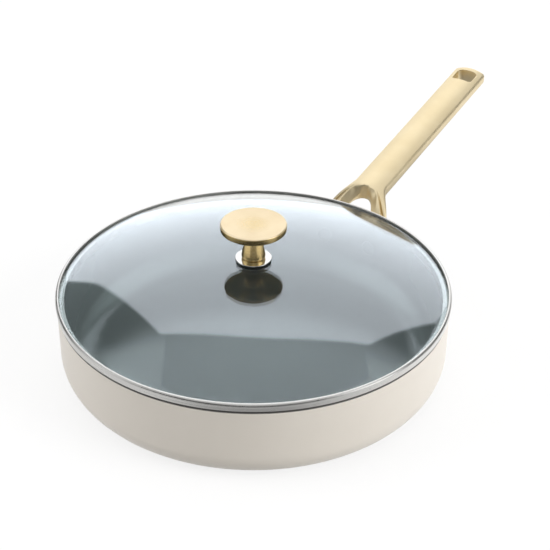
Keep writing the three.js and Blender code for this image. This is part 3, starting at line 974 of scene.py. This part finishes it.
def band_steel():
    """Brushed steel, with a painted highlight on the lip and painted shade in the fold under the glass."""
    material, tree, shader = turned_steel("brushed_band_steel", 3200.0, 0.22, 0.34, 0.01 * MM)
    reach = effect(tree, "Reach from axis")
    brushed = spread(tree, reach, lip_inner - 3 * FADE, lip_inner - FADE)
    matt = spread(tree, reach, lip_inner + FADE, lip_inner + 4 * FADE, LIP_MATT, 0.0)
    gloss = calc(tree, "MULTIPLY_ADD", matt, brushed, feeding(shader, "Roughness"))
    feed(shader.inputs["Roughness"], gloss)
    # The lip's top is painted pale as a highlight line.
    crown = spread(tree, effect(tree, "Height"), band_top - 3 * FADE, band_top - 1.5 * FADE)
    outside = tint(tree, crown, feeding(shader, "Base Color"), STEEL_LIP_HIGHLIGHT)
    # Inside the fold under the glass the steel is painted dark as shade, which darkens its image through the
    # glass.
    feed(shader.inputs["Base Color"], tint(tree, brushed, STEEL_FOLD_SHADE, outside))
    return material


fit(band, band_steel(), "lid", "lid_band")

# %% [markdown]
# ## The glass
# The lid is a pane of tempered glass, 3.4 mm thick, slumped into a shallow dome with a hole for the
# knob's screw. Two faces that share a centre give it a true even thickness, which refraction needs: a
# single sheet would bend light only once. Towards its edge the outer face is eased off a little, which
# bends the reflections beside the band. Light shines straight through by a Light Path mix on shadow
# rays, so that the pan's floor isn't left black.

# %% Glass finish
GLASS_TINT = (0.93, 0.965, 0.96, 1)
GLASS_SHADOW = (0.86, 0.90, 0.895, 1)


def clear_glass():
    """Clear glass with a faint cool tint, which lets light shine straight through."""
    settings = {"Base Color": GLASS_TINT, "Roughness": 0.0, "IOR": 1.5, "Transmission Weight": 1.0}
    material, tree, shader = finish("tempered_glass", settings)
    shining = node(tree, "LightPath", {}, "Is Shadow Ray")
    clear = node(tree, "BsdfTransparent", {"Color": GLASS_SHADOW})
    result = layered(tree, shader.outputs["BSDF"], [(shining, clear)])
    feed(tree.nodes["Material Output"].inputs["Surface"], result)
    return material


GLASS_FINISH = clear_glass()

# %% Slump the dome
DOME_RINGS = 64
EASE_RINGS = 12
SLEEVE_RADIUS = 4.7 * MM


def dome_outline():
    """The glass's outline: its underside outwards, then its outer face back to the hole."""
    hole = SLEEVE_RADIUS + SEAT_GAP
    ease = glass_radius - EASE_WIDTH
    reach = steps_between(hole, ease, DOME_RINGS)
    reach += steps_between(ease, glass_radius, EASE_RINGS) + [glass_radius]
    under = [(r, dome_at(r, GLASS)) for r in reach]
    outer = [(r, glass_face(r)) for r in reversed(reach)]
    return under + outer


fit(turned("dome_glass", dome_outline()), GLASS_FINISH, "lid", "lid_glass")

# %% [markdown]
# ## The knob
# The knob is turned from one bar: a thin disc with a slightly hollow top, on a stem that narrows
# upwards and flares into the disc. Its brushing was done on the lathe, so the streaks run round the
# disc and the stem, and the light on the disc fans out from its middle. The disc's top is more matt
# than its edge and the stem, which are painted a darker, deeper gold as shade, so the finish changes
# just below the top.

# %% Turned gold finish
KNOB_GOLD = (0.83, 0.70, 0.485, 1)
KNOB_DEEP = (0.79, 0.655, 0.44, 1)
KNOB_SIDE_SHADE = (0.66, 0.505, 0.235, 1)
TOP_START = 0.7 * MM
TOP_FULL = 0.3 * MM
TOP_MATT = 0.14

disc_radius, stem_bottom, disc_top = place("knob")


def turned_gold():
    """Gold plating brushed round the axis, more matt on the disc's top, painted darker as shade below it."""
    settings = {"Metallic": 1.0, "Anisotropic": 0.55, "Anisotropic Rotation": QUARTER_TURN}
    material, tree, shader = finish("turned_gold", settings)
    streak = effect(tree, "Turned grain", Fineness=4000.0, Streak_length=0.6)
    cloud = effect(tree, "Handling haze", Scale=60.0)
    top = spread(tree, effect(tree, "Height"), disc_top - TOP_START, disc_top - TOP_FULL)
    gold = tint(tree, cloud, KNOB_DEEP, KNOB_GOLD)
    # Below the disc's top the gold is painted darker as shade, on the disc's edge and on the stem.
    feed(shader.inputs["Base Color"], tint(tree, top, KNOB_SIDE_SHADE, gold))
    gloss = spread(tree, streak, 0.3, 0.7, 0.14, 0.26)
    feed(shader.inputs["Roughness"], calc(tree, "MULTIPLY_ADD", top, TOP_MATT, gloss))
    brush_round(tree, shader)
    emboss(tree, shader, streak, 0.01 * MM, 0.5)
    return material


TURNED_GOLD = turned_gold()

# %% Turn the knob
DISC_EDGE = 5.0 * MM
DISC_ROUND = 1.1 * MM
DISH = 0.5 * MM
STEM_FOOT = 8.8 * MM
STEM_FOOT_ROUND = 2.0 * MM
STEM_NECK = 5.3 * MM
STEM_FLARE = 4.5 * MM
STEM_TAPER = 0.1
SCREW_BORE = 2.85 * MM
BORE_DEPTH = 13.8 * MM
STEM_STEPS = 16
DISH_STEPS = 16
KNOB_STEPS = 160

disc_under = disc_top - DISC_EDGE
flare_z = disc_under - STEM_FLARE
foot_z = stem_bottom + STEM_FOOT_ROUND
bend_z = foot_z + STEM_TAPER * (flare_z - foot_z)


def stem_at(share):
    """A point on the stem's side: a curve that rises upright from the foot and leans in to the neck."""
    foot, bend, neck = (1 - share) ** 2, 2 * share * (1 - share), share ** 2
    radius = (foot + bend) * STEM_FOOT + neck * STEM_NECK
    return radius, foot * foot_z + bend * bend_z + neck * flare_z


knob_outline = softened([
    (0, stem_bottom + BORE_DEPTH),
    (SCREW_BORE, stem_bottom + BORE_DEPTH),
    (SCREW_BORE, stem_bottom),
    (STEM_FOOT, stem_bottom, STEM_FOOT_ROUND),
    (STEM_FOOT, foot_z),
])[:-1]
knob_outline += [stem_at(i / STEM_STEPS) for i in range(1, STEM_STEPS + 1)]
knob_outline += softened([
    (STEM_NECK, flare_z),
    (STEM_NECK, disc_under, STEM_FLARE * NEARLY),
    (disc_radius, disc_under, DISC_ROUND),
    (disc_radius, disc_top, DISC_ROUND),
    (0, disc_top),
])[1:-1]
edge_radius = disc_radius - DISC_ROUND
for i in reversed(range(DISH_STEPS)):
    share = i / DISH_STEPS
    knob_outline.append((edge_radius * share, disc_top - DISH * (1 - share ** 2)))
fit(turned("disc_knob", knob_outline, KNOB_STEPS), TURNED_GOLD, "lid", "knob")

# %% [markdown]
# ## The stack that clamps the knob
# Between knob and glass lie a polished washer and a black silicone grommet whose sleeve lines the
# hole. Below the glass come a gasket, a washer, a split lock washer and the screw. Most of it shows
# only through the glass or from below, yet the washer's bright ring and the grommet's dark line are
# what seats the knob in the photograph.

# %% Polished steel and silicone
BRIGHT_STEEL = (0.80, 0.80, 0.80, 1)
SILICONE_BLACK = (0.012, 0.012, 0.013, 1)
SILICONE_BLOOM = (0.026, 0.026, 0.027, 1)


def polished_steel():
    """Bright steel with faint polishing swirls."""
    material, tree, shader = finish("polished_steel", {"Metallic": 1.0, "Base Color": BRIGHT_STEEL})
    cloud = effect(tree, "Handling haze", Scale=220.0)
    streak = effect(tree, "Turned grain", Fineness=3000.0, Streak_length=0.4)
    mixed = calc(tree, "MULTIPLY_ADD", cloud, 0.5, calc(tree, "MULTIPLY", streak, 0.5))
    feed(shader.inputs["Roughness"], spread(tree, mixed, 0.2, 0.8, 0.07, 0.16))
    emboss(tree, shader, streak, 0.004 * MM, 0.3)
    return material


def black_silicone():
    """Matt black silicone with a dusty bloom."""
    material, tree, shader = finish("black_silicone", {"Specular IOR Level": 0.35})
    cloud = effect(tree, "Handling haze", Scale=300.0)
    feed(shader.inputs["Base Color"], tint(tree, cloud, SILICONE_BLACK, SILICONE_BLOOM))
    feed(shader.inputs["Roughness"], spread(tree, cloud, 0.0, 1.0, 0.55, 0.75))
    pebble = node(tree, "TexNoise", {"Vector": surface(tree), "Scale": 4000.0, "Detail": 1.0})
    emboss(tree, shader, pebble, 0.02 * MM, 0.3)
    return material


POLISHED = polished_steel()
SILICONE = black_silicone()

# %% Washers, grommet and gasket
SMALL_STEPS = 96
WASHER_ROUND = 0.3 * MM
THIN_ROUND = 0.2 * MM


def flat_ring(name, node_name, rounding):
    """A washer: a flat ring round the screw with softened edges, as tall as its CAD node."""
    radius, bottom, top = place(node_name)
    return turned(name, softened([
        (SCREW_BORE, bottom, THIN_ROUND),
        (radius, bottom, THIN_ROUND),
        (radius, top, rounding),
        (SCREW_BORE, top, THIN_ROUND),
    ]), SMALL_STEPS)


def sleeved_grommet():
    """The grommet: a flat collar on the glass with a sleeve down through the hole."""
    radius, bottom, top = place("knob_grommet")
    seat = glass_top + SEAT_GAP
    return turned("stem_grommet", softened([
        (SCREW_BORE, bottom, THIN_ROUND),
        (SLEEVE_RADIUS, bottom, THIN_ROUND),
        (SLEEVE_RADIUS, seat, THIN_ROUND),
        (radius, seat, THIN_ROUND),
        (radius, top, THIN_ROUND),
        (SCREW_BORE, top, THIN_ROUND),
    ]), SMALL_STEPS)


fit(flat_ring("stem_washer", "knob_washer", WASHER_ROUND), POLISHED, "lid", "knob_washer")
fit(sleeved_grommet(), SILICONE, "lid", "knob_grommet")
fit(flat_ring("inner_gasket", "lower_gasket", THIN_ROUND), SILICONE, "lid", "lower_gasket")
fit(flat_ring("inner_washer", "lower_washer", THIN_ROUND), POLISHED, "lid", "lower_washer")

# %% The split lock washer
SPLIT_ANGLE = math.radians(20)
SPLIT_RISE = 0.25 * MM


def split_washer():
    """A ring cut through at one place and sprung, so that its two ends stand at different heights."""
    radius, bottom, top = place("lock_washer")
    rim = softened([
        (SCREW_BORE, bottom, THIN_ROUND), (radius, bottom, THIN_ROUND),
        (radius, top - SPLIT_RISE, THIN_ROUND), (SCREW_BORE, top - SPLIT_RISE, THIN_ROUND),
    ])
    rings = []
    for i in range(SMALL_STEPS + 1):
        share = i / SMALL_STEPS
        angle = SPLIT_ANGLE / 2 + share * (2 * math.pi - SPLIT_ANGLE)
        rings.append([(r * math.cos(angle), r * math.sin(angle), z + SPLIT_RISE * share) for r, z in rim])
    return loft("split_washer", rings)


fit(split_washer(), POLISHED, "lid", "lock_washer")

# %% The cross-head screw
SCREW_RADIUS = 2.5 * MM
SCREW_HEAD = 4.8 * MM
HEAD_HEIGHT = 3.0 * MM
THREAD_PITCH = 0.8 * MM
THREAD_DEPTH = 0.45 * MM
CROSS_LENGTH = 5.0 * MM
CROSS_WIDTH = 1.2 * MM
CROSS_DEPTH = 1.8 * MM


def threaded_screw():
    """A domed screw with a cross recess below and thread crests up its shank."""
    _, bottom, tip = place("knob_screw")
    head_top = bottom + HEAD_HEIGHT
    outline = low_dome(SCREW_HEAD, head_top, -HEAD_HEIGHT)[::-1] + [(SCREW_RADIUS, head_top)]
    turns = int((tip - stem_bottom) / THREAD_PITCH)
    for i in range(turns):
        crest = tip - (turns - i) * THREAD_PITCH
        outline += [(SCREW_RADIUS, crest), (SCREW_RADIUS - THREAD_DEPTH, crest + THREAD_PITCH / 2)]
    outline += [(SCREW_RADIUS - THREAD_DEPTH, tip), (0, tip)]
    screw = turned("cross_screw", outline, SMALL_STEPS)
    below = Matrix.Translation((0, 0, bottom))
    for length, width in ((CROSS_LENGTH, CROSS_WIDTH), (CROSS_WIDTH, CROSS_LENGTH)):
        x, y = length / 2, width / 2
        outline = [(x, -y), (x, y), (-x, y), (-x, -y)]
        carve(screw, prism("slot_tool", outline, 2 * CROSS_DEPTH, below), "DIFFERENCE")
    return screw


fit(threaded_screw(), POLISHED, "lid", "knob_screw")

# %% [markdown]
# ## The studio
# The pan stands on a sweep of white paper. The floor is a diffuse sheet that keeps the pan's soft
# shadow, and it is lifted to white where it is seen directly or in the glass. Metal also mirrors the
# floor, and there its rays see pools of painted shade and painted light, tuned until the metal looked
# right: three darker pools, one of them the shade behind the pan under its handle, and one brighter
# pool at the side. Metal also mirrors floor that lies outside the picture and isn't known, so its rays
# see a few darker or brighter pools there, tuned by eye until the metal looked right. Each pool has a
# place, a radius where it is full, a radius where it ends and the share of light that it takes away.

# %% Lay the floor
FLOOR_SIZE = 12.0
FLOOR_DROP = 0.1 * MM
FLOOR_PAPER = (0.55, 0.55, 0.55, 1)
FLOOR_SHADE = (0.22, 0.22, 0.22, 1)
FLOOR_GLOW = 0.79
FLOOR_MIRRORED = 1.6
# Pools of painted shade and painted light on the floor, which only metal sees.
SHADE_AND_LIGHT_POOLS = (
    (away * 0.245 + across * 0.11, 0.09, 0.23, 0.65),
    (away * -0.27, 0.05, 0.2, 0.5),
    (away * -0.85, 0.4, 0.6, 0.8),
    (across * 0.3, 0.08, 0.25, -0.4),
)


def seen_directly(tree, path):
    """1 where the eye sees a surface with nothing or only clear glass in between."""
    bounced = calc(tree, "ADD", path["Diffuse Depth"], path["Glossy Depth"])
    clear = calc(tree, "MULTIPLY", path["Is Transmission Ray"], calc(tree, "LESS_THAN", bounced, 0.5))
    return calc(tree, "MAXIMUM", path["Is Camera Ray"], clear)


def first_mirror(tree, path):
    """1 where the lid's glass mirrors a ray, or passes one that the pan's lining mirrored."""
    bounced = calc(tree, "MULTIPLY_ADD", path["Diffuse Depth"], 2.0, path["Glossy Depth"])
    return calc(tree, "MULTIPLY", path["Is Singular Ray"], calc(tree, "LESS_THAN", bounced, 1.5))


def bare_tree(owner):
    """Empty the node tree of a material or a world, and return it with the facts about each ray."""
    owner.use_nodes = True
    owner.node_tree.nodes.clear()
    return owner.node_tree, owner.node_tree.nodes.new("ShaderNodeLightPath").outputs


def floor_finish():
    """A pale floor that is white to the eye and keeps a faint shadow."""
    material = bpy.data.materials.new("white_sweep")
    tree, path = bare_tree(material)
    paper = node(tree, "BsdfDiffuse", {"Color": FLOOR_PAPER})
    mirrored = first_mirror(tree, path)
    strength = spread(tree, mirrored, 0.0, 1.0, FLOOR_GLOW, FLOOR_MIRRORED)
    glow = node(tree, "Emission", {"Strength": strength})
    lifted = node(tree, "AddShader", {0: node(tree, "BsdfDiffuse", {"Color": FLOOR_SHADE}), 1: glow})
    position = node(tree, "NewGeometry", {}, "Position")
    level = 1.0
    # The glow that metal sees is less in each pool of painted shade and more in the pool of painted light.
    for spot, full, end, taken in SHADE_AND_LIGHT_POOLS:
        reach = measure(tree, "DISTANCE", position, spot)
        level = calc(tree, "SUBTRACT", level, spread(tree, reach, full, end, taken, 0.0))
    gleam = node(tree, "Emission", {"Strength": level})
    seen = calc(tree, "MAXIMUM", seen_directly(tree, path), mirrored)
    result = layered(tree, paper, ((path["Is Glossy Ray"], gleam), (seen, lifted)))
    node(tree, "OutputMaterial", {"Surface": result})
    return material


bm = bmesh.new()
bmesh.ops.create_grid(bm, x_segments=8, y_segments=8, size=FLOOR_SIZE / 2)
floor = new_object("sweep_floor", bm)
floor.location.z = -FLOOR_DROP
floor.data.materials.append(floor_finish())
print("Floor laid, with", len(SHADE_AND_LIGHT_POOLS), "pools for metal")

# %% [markdown]
# The light comes from the world, as a brightness for each direction. Area lamps could do the same, but
# their shapes are harder to steer: the glass mirrors one large white sheet behind the pan, and the
# sheet's edges draw the bent line across the lid. Here each edge is an angle, the right one leans, the
# left one flares at its foot and the top is bowed.

# %% The sheet behind the pan
SHEET_LEFT = math.radians(-24.4)
SHEET_FLARE = math.radians(2.0)
FLARE_RISE = (28, 18)
SHEET_RIGHT = math.radians(40.8)
SHEET_LEAN = 0.2
SHEET_TOP = math.radians(57.1)
SHEET_MIDDLE = math.radians(3)
SHEET_BOW = 0.51
SHEET_SOFT = math.radians(0.6)


def heading(turn, rise):
    """A direction so many degrees to the right of straight back, and so many above the floor."""
    turn, rise = math.radians(turn), math.radians(rise)
    flat = across * math.sin(turn) + away * math.cos(turn)
    return flat * math.cos(rise) + up * math.sin(rise)


def towards(tree, direction):
    """How closely the line of sight agrees with a direction, from -1 to 1."""
    return measure(tree, "DOT_PRODUCT", node(tree, "TexCoord", {}, "Generated"), direction)


def risen(tree):
    """The angle above the floor."""
    return calc(tree, "ARCSINE", towards(tree, up))


def by_rise(tree, angles, at_first, at_second):
    """A level that changes between two angles above the floor, in degrees."""
    first, second = (math.radians(angle) for angle in angles)
    return spread(tree, risen(tree), first, second, at_first, at_second)


def white_sheet(tree):
    """1 on the sheet and 0 past its edges."""
    turn = calc(tree, "ARCTAN2", towards(tree, across), towards(tree, away))
    left = calc(tree, "SUBTRACT", SHEET_LEFT, by_rise(tree, FLARE_RISE, 0.0, SHEET_FLARE))
    leaning = calc(tree, "MULTIPLY_ADD", risen(tree), SHEET_LEAN, turn)
    off_middle = calc(tree, "SUBTRACT", turn, SHEET_MIDDLE)
    bow = calc(tree, "MULTIPLY", calc(tree, "POWER", off_middle, 2.0), SHEET_BOW)
    bowed = calc(tree, "ADD", risen(tree), bow)
    sheet = 1.0
    for reached, edge in ((left, turn), (leaning, SHEET_RIGHT), (bowed, SHEET_TOP)):
        past = calc(tree, "SUBTRACT", reached, edge)
        sheet = calc(tree, "MULTIPLY", sheet, spread(tree, past, SHEET_SOFT, -SHEET_SOFT))
    return sheet


print(f"The sheet is {math.degrees(SHEET_RIGHT - SHEET_LEFT):.0f} degrees wide")

# %% [markdown]
# Round the sheet the studio is a dim dome with a glow overhead, a soft box on either side and a darker
# front. Metal sees less of the boxes and has a weak fill of its own, low down at both sides and in
# front. A photographer would use cards beside a shiny pan for that. Here the kind of ray decides, which
# is simpler to tune.

# %% What lights the pan
SHEET_LOW = 1.08
SHEET_HIGH = 0.58
SHEET_FADE = (30, 52)
DOME_LEVEL = 0.05
OVERHEAD = 0.9
BOX_RIGHT = 6.7
BOX_LEFT = 3.2
BOX_ON_METAL = 0.3
FRONT_DIM = -0.05
SIDE_FILL = 0.75
SIDE_RISE = (0, 12)
SIDE_TURNS = (-65, 65)
FRONT_FILL = 0.42


def light_level(tree, sheet, on_metal):
    """The light on the pan. A lobe begins at one cosine from its direction and is full at another."""
    level = calc(tree, "MULTIPLY_ADD", sheet, by_rise(tree, SHEET_FADE, SHEET_LOW, SHEET_HIGH), DOME_LEVEL)
    carded = spread(tree, on_metal, 0.0, 1.0, 1.0, BOX_ON_METAL)
    side_fill = calc(tree, "MULTIPLY", by_rise(tree, SIDE_RISE, SIDE_FILL, 0.0), on_metal)
    lobes = [
        (up, 0.3, 1.0, OVERHEAD, 1.0),
        (heading(113, 24), 0.9, 1.0, BOX_RIGHT, carded),
        (heading(-92, 25), 0.87, 1.0, BOX_LEFT, carded),
        (heading(180, 10), 0.5, 1.0, FRONT_DIM, 1.0),
        *((heading(turn, 0), 0.2, 1.0, 1.0, side_fill) for turn in SIDE_TURNS),
        (heading(180, 27), 0.945, 0.985, FRONT_FILL, on_metal),
    ]
    for direction, begin, full, gain, share in lobes:
        lit = spread(tree, towards(tree, direction), begin, full, 0.0, gain)
        level = calc(tree, "MULTIPLY_ADD", lit, share, level)
    return level


print("Soft boxes:", BOX_RIGHT, "right and", BOX_LEFT, "left")

# %% [markdown]
# The sheet's image in the glass is nearly white, while the wall is shaded softly and the inside stays
# dark. One setting of the light didn't give all three, so rays that the sharp glass mirrors or passes see
# a brighter studio, which real light wouldn't do: the same sheet, and round it a dim room under a
# lighter roof, with a box on either side. The roof's edges are straight on a level ceiling, not in angle.

# %% What the glass mirrors
MIRROR_LOW = 2.85
MIRROR_HIGH = 3.1
MIRROR_FADE = (15, 57)
MIRROR_DIM = 0.6
MIRROR_ROOF = 0.75
MIRROR_SIDE = 1.3
MIRROR_BOX = 1.6
BOX_TURNS = (-85, 85)
BOX_RISE = 35
BOX_BEGIN = 0.75
ROOF_MIDDLE = 0.045
ROOF_HALF = 0.36
ROOF_SOFT = 0.012
ROOF_NEAR = 0.58
ROOF_FAR = 0.76
ROOF_TURN = 0.12
LEAST_RISE = 0.05


def mirror_level(tree, sheet):
    """The brightness that the glass mirrors."""
    overhead = calc(tree, "MAXIMUM", towards(tree, up), LEAST_RISE)
    sideways = calc(tree, "DIVIDE", towards(tree, across), overhead)
    backwards = calc(tree, "DIVIDE", towards(tree, away), overhead)
    turned_back = calc(tree, "MULTIPLY_ADD", sideways, ROOF_TURN, backwards)
    off_roof = calc(tree, "ABSOLUTE", calc(tree, "SUBTRACT", sideways, ROOF_MIDDLE))
    aside = spread(tree, off_roof, ROOF_HALF - ROOF_SOFT, ROOF_HALF + ROOF_SOFT)
    roof = calc(tree, "MULTIPLY_ADD", aside, MIRROR_SIDE - MIRROR_ROOF, MIRROR_ROOF - MIRROR_DIM)
    room = calc(tree, "MULTIPLY_ADD", spread(tree, turned_back, ROOF_FAR, ROOF_NEAR), roof, MIRROR_DIM)
    for turn in BOX_TURNS:
        lit = spread(tree, towards(tree, heading(turn, BOX_RISE)), BOX_BEGIN, 1.0, 0.0, MIRROR_BOX)
        room = calc(tree, "ADD", room, lit)
    more = calc(tree, "SUBTRACT", by_rise(tree, MIRROR_FADE, MIRROR_LOW, MIRROR_HIGH), room)
    return calc(tree, "MULTIPLY_ADD", sheet, more, room)


print("The glass mirrors the sheet at", MIRROR_LOW, "to", MIRROR_HIGH)

# %% Light the studio
WHITE = (1, 1, 1, 1)
ROOF_TINT = (0.85, 1.0, 1.03, 1)
SHEET_TINT = (0.93, 1.0, 1.08, 1)


def studio_world():
    """The studio as a world: what lights the pan, over it what the glass mirrors, and white for the eye."""
    world = bpy.data.worlds.new("studio")
    tree, path = bare_tree(world)
    sheet = white_sheet(tree)
    level = light_level(tree, sheet, path["Is Glossy Ray"])
    light = node(tree, "Background", {"Color": WHITE, "Strength": level})
    cool = tint(tree, sheet, ROOF_TINT, SHEET_TINT)
    mirrored = node(tree, "Background", {"Color": cool, "Strength": mirror_level(tree, sheet)})
    white = node(tree, "Background", {"Color": WHITE})
    layers = ((first_mirror(tree, path), mirrored), (seen_directly(tree, path), white))
    node(tree, "OutputWorld", {"Surface": layered(tree, light, layers)})
    return world


bpy.context.scene.world = studio_world()
bpy.context.scene.view_settings.view_transform = "Standard"
print("Studio lit by", len(bpy.context.scene.world.node_tree.nodes), "nodes")
